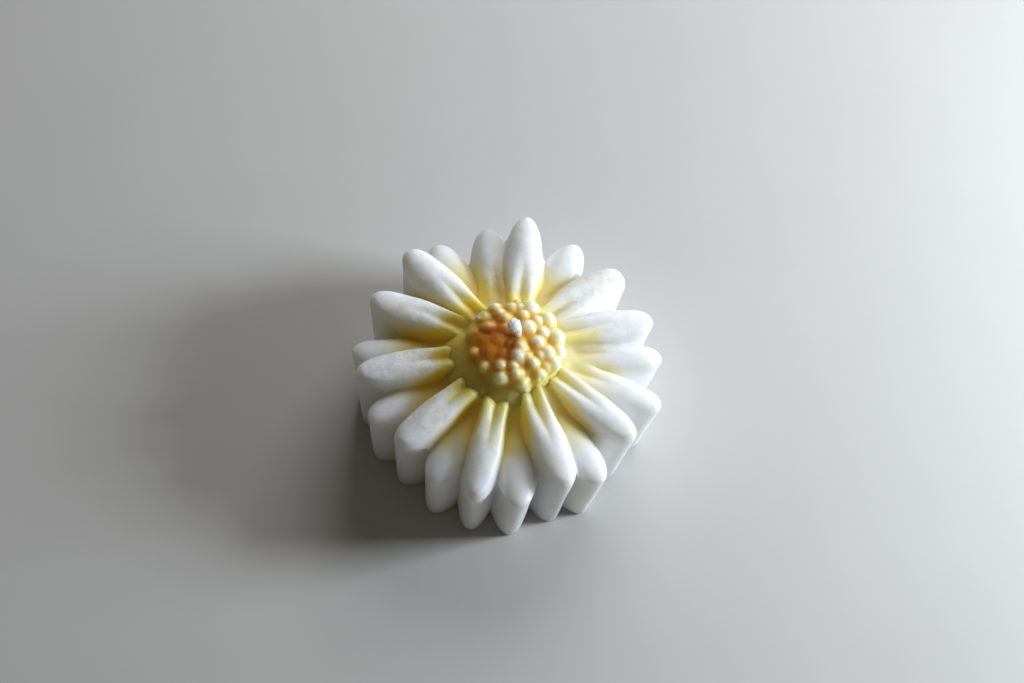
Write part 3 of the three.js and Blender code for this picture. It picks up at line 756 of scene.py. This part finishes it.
def shaded_orange_patch(points):
    """exp(-(distance from the patch's middle / its size) ** 2), in plan. The patch is painted shade."""
    middle = np.array([PATCH_OUT * math.cos(PATCH_AT), PATCH_OUT * math.sin(PATCH_AT)])
    return np.exp(-(np.linalg.norm(points[..., :2] - middle, axis=-1) / PATCH_SIZE) ** 2)


raised = raised_by_bumps()
lumps = raised - sunk_by_pits() + clouds(plain, DISC_CLOUDS)
disc_top = plain + upwards * lumps[..., None]
bottom = [np.stack([r * cos_a, r * sin_a, foot_z], axis=-1) for r in (skirt, DISC_HOLE_RADIUS)]
disc_points = np.concatenate([disc_top, np.array(bottom)])
yellow_wax = new_piece("floret_disc", disc_points.reshape(-1, 3),
                       ring_faces(len(disc_points), DISC_COLUMNS, True).tolist())
paint(yellow_wax, "raised", np.concatenate([raised, np.zeros((2, DISC_COLUMNS))]))
paint(yellow_wax, "orange", shaded_orange_patch(disc_points))
paint(yellow_wax, "shaded_side", shaded_side(azimuth_of(disc_points[..., 0], disc_points[..., 1])))
out_from_wick = np.hypot(disc_points[..., 0], disc_points[..., 1])
paint(yellow_wax, "rim", smooth_step(PALER_FROM, PALER_AT_RIM, out_from_wick))
paint(yellow_wax, "run", smooth_step(PALER_FROM, PALER_AT_RUN, out_from_wick))
print("disc grid:", disc_points.shape[:2], "highest point:", disc_points[..., 2].max().round(2), "mm")

# %% [markdown]
# ## The wick
# A cotton wick is a few strands twisted together and dipped in wax. A curve with a round bevel
# would make a smooth wire, so the tube is worked out here: it is carried along the wick's own
# line and has twisted grooves between the strands. The line runs straight up through the wax and
# curls over in the open, through listed points.
# %% The wick's line
WICK_FOOT_Z = 0.6

# Places from the wick's axis and from the top of the dome.
WICK_END = [(0.1, 0.05, -1), (0.45, 0.15, 0.3), (0.4, 0.7, 1.2),
            (-0.2, 1.05, 1.9), (-1.2, 1.3, 2.3), (-2.3, 1.45, 2.1)]
WICK_SAMPLES, WICK_SIDES = 320, 72


def smooth_route(points, share):
    """A cubic through the points: each part blends its two ends and their slopes, which are taken
    from the neighbours by chord length. The share is of the whole way, from 0 to 1."""
    points = np.array(points, float)
    knots = np.concatenate([[0], np.cumsum(np.linalg.norm(np.diff(points, axis=0), axis=1))])
    slopes = np.gradient(points, knots, axis=0)
    t = knots[-1] * share
    i = np.clip(np.searchsorted(knots, t, side="right") - 1, 0, len(knots) - 2)
    chord = (knots[i + 1] - knots[i])[:, None]
    u = (t - knots[i])[:, None] / chord
    return ((2 * u ** 3 - 3 * u ** 2 + 1) * points[i] + (u ** 3 - 2 * u ** 2 + u) * chord * slopes[i]
            + (3 * u ** 2 - 2 * u ** 3) * points[i + 1] + (u ** 3 - u ** 2) * chord * slopes[i + 1])


def frames(paths):
    """Two directions square to each path at each sample. The first is carried along, losing what
    points along the path at each step, so that it never turns suddenly."""
    tangent = np.gradient(paths, axis=1)
    tangent /= np.linalg.norm(tangent, axis=-1, keepdims=True)
    side = np.zeros_like(paths)
    upright = np.abs(tangent[:, 0, 2:]) > 0.9
    carried = np.cross(tangent[:, 0], np.where(upright, [[0.0, 1, 0]], [[0.0, 0, 1]]))
    for j in range(paths.shape[1]):
        carried = carried - (carried * tangent[:, j]).sum(-1, keepdims=True) * tangent[:, j]
        carried /= np.linalg.norm(carried, axis=-1, keepdims=True)
        side[:, j] = carried
    return side, np.cross(tangent, side)


def tubes(paths, radii, sides, grooves=0.0):
    """Points and faces of a closed tube round each path. Its radius is radii * (1 - grooves +
    grooves * abs(cos(strands * angle / 2 + turns * share of the way)))."""
    count, samples = paths.shape[:2]
    first, second = frames(paths)
    angle = np.arange(sides) * 2 * np.pi / sides
    share = np.linspace(0, 1, samples)[None, :, None]
    lobes = np.abs(np.cos(STRANDS * angle[None, None] / 2 + STRAND_TURNS * share))
    radius = radii[..., None] * (1 - grooves + grooves * lobes)
    points = (paths[:, :, None] + radius[..., None] * (np.cos(angle)[:, None] * first[:, :, None]
              + np.sin(angle)[:, None] * second[:, :, None]))
    grid = ring_faces(samples, sides, False)[:, ::-1]
    faces = []
    for k in range(count):
        start = k * samples * sides
        faces += (grid + start).tolist()
        faces.append(list(range(start + sides - 1, start - 1, -1)))
        faces.append(list(range(start + (samples - 1) * sides, start + samples * sides)))
    return points.reshape(-1, 3), faces


wick_share = 1 - (1 - np.linspace(0, 1, WICK_SAMPLES)) ** 2  # the samples crowd at the frayed end
wick_line = smooth_route([(0, 0, WICK_FOOT_Z), (0, 0, DISC_TOP_Z / 2)]
                         + [(x, y, DISC_TOP_Z + z) for x, y, z in WICK_END], wick_share)
wick_length = np.linalg.norm(np.diff(wick_line, axis=0), axis=1).sum()
print("the wick's line is", wick_length.round(1), "mm long")

# %% [markdown]
# The wick's end is frayed. It swells into a lumpy white tuft, and loose fibres are drawn round it
# as hair-thin tubes. Hair particles would be quicker, but they are not a mesh.
# %% Strands, tuft and loose fibres
STRANDS, STRAND_TURNS, STRAND_GROOVES = 5, 40, 0.22
TUFT_FROM, TUFT_FULL = 0.92, 0.95
TUFT_CLOUDS = [(0.22, 1, 31), (0.14, 0.4, 32)]
FIBRES, FIBRE_SAMPLES, FIBRE_SIDES, FIBRE_RADII = 90, 8, 5, (0.05, 0.02)
FIBRE_SEED, FIBRE_ROOT, FIBRES_END = 21, 0.85, 6  # share of the tuft's radius; samples left bare
FIBRE_OUTWARDS, FIBRE_SCATTER, FIBRE_CURL, FIBRE_BEND = 0.3, 0.4, 0.5, 0.3
FIBRE_SHORTEST, FIBRE_LONGEST = 0.4, 1

# Share of the way along the wick, and its radius there.
WICK_SIZES = [(0, 0.78), (0.85, 0.78), (0.88, 0.72), (0.905, 0.62), (0.925, 0.85), (0.94, 1.25),
              (0.955, 1.6), (0.98, 1.7), (0.992, 1.25), (0.998, 0.6), (1, 0.15)]


def lumpy(points):
    """Moves the tuft's points away from the wick's line, or towards it, by two sizes of cloud."""
    centre = np.repeat(wick_line, WICK_SIDES, axis=0)
    tuft = smooth_step(TUFT_FROM, TUFT_FULL, np.repeat(wick_share, WICK_SIDES))
    return centre + (points - centre) * (1 + tuft * clouds(points, TUFT_CLOUDS))[:, None]


def fibre_paths():
    """start + t * heading + t ** 2 * bend: from a random place on the tuft, each fibre runs round
    the wick and a little outwards, and curls back in."""
    draw = np.random.default_rng(FIBRE_SEED)
    at = draw.integers(np.searchsorted(wick_share, TUFT_FULL), WICK_SAMPLES - FIBRES_END, FIBRES)
    side, other = (f[0][at] for f in frames(wick_line[None]))
    angle = draw.uniform(0, 2 * np.pi, FIBRES)[:, None]
    out = np.cos(angle) * side + np.sin(angle) * other
    start = wick_line[at] + FIBRE_ROOT * wick_radius[at, None] * out
    onward = np.gradient(wick_line, axis=0)[at]
    onward /= np.linalg.norm(onward, axis=1, keepdims=True)
    heading = np.cross(onward, out) + FIBRE_OUTWARDS * out
    heading = heading + draw.normal(0, FIBRE_SCATTER, (FIBRES, 3))
    bend = draw.normal(0, FIBRE_BEND, (FIBRES, 3)) - FIBRE_CURL * out
    length = draw.uniform(FIBRE_SHORTEST, FIBRE_LONGEST, FIBRES)
    t = np.linspace(0, 1, FIBRE_SAMPLES)[None, :, None] * length[:, None, None]
    return start[:, None] + t * heading[:, None] + t ** 2 * bend[:, None]


wick_radius = np.interp(wick_share, *np.array(WICK_SIZES).T)
rope_points, rope_faces = tubes(wick_line[None], wick_radius[None], WICK_SIDES, STRAND_GROOVES)
fibre_radii = np.repeat(np.linspace(*FIBRE_RADII, FIBRE_SAMPLES)[None], FIBRES, 0)
fibre_points, fibre_faces = tubes(fibre_paths(), fibre_radii, FIBRE_SIDES)
fibre_faces = [[i + len(rope_points) for i in face] for face in fibre_faces]
wick = new_piece("cotton_wick", np.concatenate([lumpy(rope_points), fibre_points]),
                 rope_faces + fibre_faces)
print("wick faces:", len(wick.data.polygons))

# %% [markdown]
# ## The skin of cast wax
# Both colours of wax have the same kind of skin, so it is one node group: clouds of paler bloom,
# a fine grain, and a height for the bump. Each material puts in its own amounts. Patterns read
# the object's own coordinates in metres, so a scale of 500 makes cells of 2 mm. A picture of wax
# could be wrapped round instead, but it would stretch on the petals and blur close up.
# %% Node helpers and the skin group


def add(tree, kind, at, **settings):
    """A node at a place in the editor, with its settings."""
    node = tree.nodes.new(kind)
    node.location = at
    for name, value in settings.items():
        setattr(node, name, value)
    return node


def noise(tree, at, vector, scale, detail, roughness=0.55, distortion=0.0):
    """A noise texture on a vector; it gives a value from 0 to 1."""
    node = add(tree, "ShaderNodeTexNoise", at)
    values = {"Scale": scale, "Detail": detail, "Roughness": roughness, "Distortion": distortion}
    for name, value in values.items():
        node.inputs[name].default_value = value
    tree.links.new(vector, node.inputs["Vector"])
    return node.outputs["Fac"]


def combine(tree, at, operation, a, b):
    """Two values added or multiplied."""
    node = add(tree, "ShaderNodeMath", at, operation=operation)
    tree.links.new(a, node.inputs[0])
    tree.links.new(b, node.inputs[1])
    return node.outputs["Value"]


def stretch(tree, at, value, low, high, to_low=0.0, to_high=1.0):
    """to_low + (to_high - to_low) * the smooth step of the value from low to high."""
    node = add(tree, "ShaderNodeMapRange", at, interpolation_type="SMOOTHSTEP")
    ends = {"From Min": low, "From Max": high, "To Min": to_low, "To Max": to_high}
    for name, number in ends.items():
        node.inputs[name].default_value = number
    tree.links.new(value, node.inputs["Value"])
    return node.outputs["Result"]


def blend_colours(tree, at, share, first, second):
    """Two colours mixed by a share; each is a socket or a colour."""
    node = add(tree, "ShaderNodeMix", at, data_type="RGBA")
    tree.links.new(share, node.inputs["Factor"])
    for socket, colour in ((node.inputs["A"], first), (node.inputs["B"], second)):
        if isinstance(colour, tuple):
            socket.default_value = (*colour, 1)
        else:
            tree.links.new(colour, socket)
    return node.outputs["Result"]


def attribute(tree, at, name):
    """A number that was stored for each vertex."""
    return add(tree, "ShaderNodeAttribute", at, attribute_name=name).outputs["Fac"]


def make_skin_group():
    """In: where the bloom lies, and how deep the grain is. Out: bloom, grain and height."""
    group = bpy.data.node_groups.new("cast_wax_skin", "ShaderNodeTree")
    for name in ("Bloom Amount", "Grain Depth"):
        group.interface.new_socket(name, in_out="INPUT", socket_type="NodeSocketFloat")
    for name in ("Bloom", "Grain", "Height"):
        group.interface.new_socket(name, in_out="OUTPUT", socket_type="NodeSocketFloat")
    inputs = add(group, "NodeGroupInput", (-900, 0))
    outputs = add(group, "NodeGroupOutput", (600, 0))
    place = add(group, "ShaderNodeTexCoord", (-900, 300)).outputs["Object"]
    patchy = noise(group, (-650, 300), place, scale=380, detail=5, roughness=0.62, distortion=0.4)
    patches = stretch(group, (-400, 300), patchy, 0.4, 0.58)
    speckled = noise(group, (-650, 80), place, scale=1500, detail=4, roughness=0.6)
    specks = stretch(group, (-400, 80), speckled, 0.4, 0.7)
    bloom = combine(group, (-150, 200), "MULTIPLY", patches, inputs.outputs["Bloom Amount"])
    grain = noise(group, (-650, -150), place, scale=2600, detail=3, roughness=0.6)
    dents = noise(group, (-650, -350), place, scale=420, detail=3, roughness=0.5)
    dry = combine(group, (0, 50), "MULTIPLY", specks, bloom)
    fine = combine(group, (0, -150), "MULTIPLY", grain, inputs.outputs["Grain Depth"])
    rough = combine(group, (150, 0), "ADD", dry, fine)
    height = combine(group, (200, -100), "ADD", rough, dents)
    for name, socket in (("Bloom", bloom), ("Grain", grain), ("Height", height)):
        group.links.new(socket, outputs.inputs[name])
    return group


skin_group = make_skin_group()
print("skin group sockets:", [socket.name for socket in skin_group.interface.items_tree])

# %% [markdown]
# ## White wax
# Light goes into wax and comes out again a few millimetres away, so the shader scatters it under
# the surface, red furthest. A plain white shader would look like plaster. The colour is a clean
# white, lemon where the tint is stored, which is partly painted shade, and paler and drier where
# the bloom lies. Right beside the disc both waxes have one colour, deeper gold as painted shade on
# the side away from the side light, so that the seam between them hardly shows.
# %% White wax material
GRAIN_WHITE, PLAIN_WHITE, BLOOM_WHITE = (0.78, 0.78, 0.8), (0.83, 0.83, 0.86), (0.95, 0.95, 0.96)
LEMON, LIT_BORDER, SHADED_BORDER = (0.8, 0.71, 0.34), (0.96, 0.79, 0.26), (0.87, 0.67, 0.14)


def new_material(name):
    """A material with its principled shader and its node tree."""
    material = bpy.data.materials.new(name)
    material.use_nodes = True
    return material, material.node_tree, material.node_tree.nodes["Principled BSDF"]


def skin_in(tree, at, bloom_amount, grain_depth):
    """The skin group in a material. The bloom amount changes over the surface, so it is a socket."""
    skin = add(tree, "ShaderNodeGroup", at, node_tree=skin_group)
    tree.links.new(bloom_amount, skin.inputs["Bloom Amount"])
    skin.inputs["Grain Depth"].default_value = grain_depth
    return skin


def bump_from(tree, shader, height, strength, distance_mm):
    """Turns a height into the shader's normal."""
    bump = add(tree, "ShaderNodeBump", (-250, -400))
    bump.inputs["Strength"].default_value = strength
    bump.inputs["Distance"].default_value = distance_mm * MM
    tree.links.new(height, bump.inputs["Height"])
    tree.links.new(bump.outputs["Normal"], shader.inputs["Normal"])


def set_scatter(shader, scatter_radius, scatter_mm, gloss_index):
    """The values that are the same all over a piece: how light spreads in it, and its gloss."""
    shader.inputs["Subsurface Weight"].default_value = 1.0
    shader.inputs["Subsurface Radius"].default_value = scatter_radius
    shader.inputs["Subsurface Scale"].default_value = scatter_mm * MM
    shader.inputs["IOR"].default_value = gloss_index


def border_colour(tree, at):
    """The colour of both waxes where they meet, by the shaded_side attribute: a deeper gold on the
    side away from the side light, as painted shade.
    """
    shaded = attribute(tree, (at[0] - 300, at[1]), "shaded_side")
    return blend_colours(tree, at, shaded, LIT_BORDER, SHADED_BORDER)


def make_white_wax():
    """White by the grain, then lemon and the border's colour by the tint, then the bloom."""
    material, tree, shader = new_material("white_wax")
    set_scatter(shader, (1.0, 0.95, 0.7), scatter_mm=6, gloss_index=1.44)
    skin = skin_in(tree, (-900, 0), attribute(tree, (-1200, 0), "frost"), grain_depth=0.4)
    tint = attribute(tree, (-1200, 300), "tint_and_painted_shade")
    plain = blend_colours(tree, (-800, 400), skin.outputs["Grain"], GRAIN_WHITE, PLAIN_WHITE)
    faint = stretch(tree, (-900, 300), tint, 0, 0.55)
    lemon = blend_colours(tree, (-600, 400), faint, plain, LEMON)
    strong = stretch(tree, (-900, 150), tint, 0.4, 0.9)
    tinted = blend_colours(tree, (-420, 300), strong, lemon, border_colour(tree, (-600, 600)))
    colour = blend_colours(tree, (-240, 300), skin.outputs["Bloom"], tinted, BLOOM_WHITE)
    dryness = stretch(tree, (-400, 0), skin.outputs["Bloom"], 0, 1, to_low=0.42, to_high=0.62)
    tree.links.new(colour, shader.inputs["Base Color"])
    tree.links.new(dryness, shader.inputs["Roughness"])
    bump_from(tree, shader, skin.outputs["Height"], strength=0.5, distance_mm=0.12)
    return material


white_wax.data.materials.append(make_white_wax())
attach(white_wax, "root")
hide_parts("wax_body")
print("white wax dressed, vertices:", len(white_wax.data.vertices))

# %% [markdown]
# ## Yellow wax
# The colour is mixed from stored values. It is orange in a patch beside the wick on the side
# away from the side light, which is painted shade, and golden and deeper between the bumps, which
# is painted shade in the creases. On top of the bumps it is pale, partly from a dry bloom and
# partly as a painted highlight. Towards the rim and down the tongues it turns to the colour that
# the white wax has there. One even orange would make the bumps look like beads of plastic, so the
# stored values mix several colours.
# %% Yellow wax material
GOLDEN, ORANGE, PALE_ORANGE = (0.82, 0.54, 0.06), (0.74, 0.26, 0.01), (0.93, 0.66, 0.36)
PALE_INNER, PALE_OUTER, YELLOW_BLOOM = (0.99, 0.88, 0.68), (0.97, 0.91, 0.56), (0.97, 0.92, 0.8)


def make_yellow_wax():
    """Deep colours between the bumps, as painted shade, and pale ones on them, as painted highlight,
    each with its own orange near the patch, mixed by how far a point is raised."""
    material, tree, shader = new_material("yellow_wax")
    set_scatter(shader, (1.0, 0.95, 0.65), scatter_mm=3, gloss_index=1.45)
    orange = attribute(tree, (-1300, 500), "orange")
    raised_by = attribute(tree, (-1300, 200), "raised")
    skin = skin_in(tree, (-900, 0), stretch(tree, (-1100, 0), raised_by, 0.5, 1.5), grain_depth=0.3)
    run = attribute(tree, (-1300, 950), "run")
    golden = blend_colours(tree, (-800, 600), run, GOLDEN, border_colour(tree, (-1000, 800)))
    deep_patch = stretch(tree, (-900, 500), orange, 0.1, 0.8)
    deep = blend_colours(tree, (-700, 400), deep_patch, golden, ORANGE)
    rim = attribute(tree, (-1300, 650), "rim")
    outwards = blend_colours(tree, (-1000, 650), rim, PALE_INNER, PALE_OUTER)
    pale_patch = stretch(tree, (-900, 650), orange, 0.2, 0.9)
    pale = blend_colours(tree, (-700, 200), pale_patch, outwards, PALE_ORANGE)
    # Painted shade and highlight: deep colours in the creases, pale ones on the raised tops.
    lifted = stretch(tree, (-700, 0), raised_by, 0.2, 1.8)
    colour = blend_colours(tree, (-400, 300), lifted, deep, pale)
    bloomed = blend_colours(tree, (-200, 300), skin.outputs["Bloom"], colour, YELLOW_BLOOM)
    dryness = stretch(tree, (-400, 0), skin.outputs["Grain"], 0.3, 0.7, to_low=0.34, to_high=0.46)
    tree.links.new(bloomed, shader.inputs["Base Color"])
    tree.links.new(dryness, shader.inputs["Roughness"])
    bump_from(tree, shader, skin.outputs["Height"], strength=0.4, distance_mm=0.1)
    return material


yellow_wax.data.materials.append(make_yellow_wax())
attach(yellow_wax, "root")
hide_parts("wax_disc")
print("yellow wax dressed, vertices:", len(yellow_wax.data.vertices))

# %% [markdown]
# ## Cotton
# The strands are white cotton, matt, with a soft sheen from the loose fibres on their surface. A
# tuft lets light through, so it scatters light as wax does, all colours equally far.
# %% Cotton material
CLEAN_COTTON, WHITE_COTTON = (0.97, 0.97, 0.98), (0.99, 0.99, 1.0)


def make_cotton():
    """Two whites in clouds, and a fine fuzz that drives the roughness and the bump."""
    material, tree, shader = new_material("wick_cotton")
    set_scatter(shader, (1.0, 1.0, 1.0), scatter_mm=4, gloss_index=1.4)
    shader.inputs["Sheen Weight"].default_value = 0.3
    place = add(tree, "ShaderNodeTexCoord", (-1100, 0)).outputs["Object"]
    fuzz = noise(tree, (-850, 0), place, scale=5200, detail=4, roughness=0.7)
    cloudy = stretch(tree, (-650, 250), noise(tree, (-850, 250), place, scale=900, detail=3), 0.35, 0.7)
    colour = blend_colours(tree, (-500, 250), cloudy, CLEAN_COTTON, WHITE_COTTON)
    dryness = stretch(tree, (-500, 0), fuzz, 0.3, 0.7, to_low=0.75, to_high=0.95)
    tree.links.new(colour, shader.inputs["Base Color"])
    tree.links.new(dryness, shader.inputs["Roughness"])
    bump_from(tree, shader, fuzz, strength=0.35, distance_mm=0.06)
    return material


wick.data.materials.append(make_cotton())
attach(wick, "root")
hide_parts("wick")
print("wick dressed")

# %% [markdown]
# ## The table
# The candle stands on a plain pale surface, which is not part of it. Its colour varies a little,
# as paper's does, because a perfectly even floor makes a picture look unreal.
# %% Floor
FLOOR_HALF = 2.0
FLOOR_GREY, FLOOR_PALE = (0.58, 0.565, 0.55), (0.62, 0.605, 0.59)


def make_floor():
    """One square at the height of the candle's foot."""
    mesh = bpy.data.meshes.new("floor")
    corners = [(x * FLOOR_HALF, y * FLOOR_HALF, 0) for x, y in ((-1, -1), (1, -1), (1, 1), (-1, 1))]
    mesh.from_pydata(corners, [], [(0, 1, 2, 3)])
    material, tree, shader = new_material("pale_table")
    place = add(tree, "ShaderNodeTexCoord", (-900, 0)).outputs["Object"]
    cloudy = noise(tree, (-700, 0), place, scale=30, detail=4)
    colour = blend_colours(tree, (-400, 0), cloudy, FLOOR_GREY, FLOOR_PALE)
    tree.links.new(colour, shader.inputs["Base Color"])
    shader.inputs["Roughness"].default_value = 0.7
    mesh.materials.append(material)
    table = bpy.data.objects.new("floor", mesh)
    bpy.context.scene.collection.objects.link(table)
    return table


floor = make_floor()
floor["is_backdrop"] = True

# %% [markdown]
# ## Sizes, and the end
# The box of the dressed candle is set against that of the imported part, and how much it has
# grown is printed.
# %% Print how much the box has grown
LOOK_LOW, LOOK_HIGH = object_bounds()
grown = (LOOK_HIGH - LOOK_LOW) - (CAD_HIGH - CAD_LOW)
print("grown by, in mm:", [round(g / MM, 2) for g in grown])
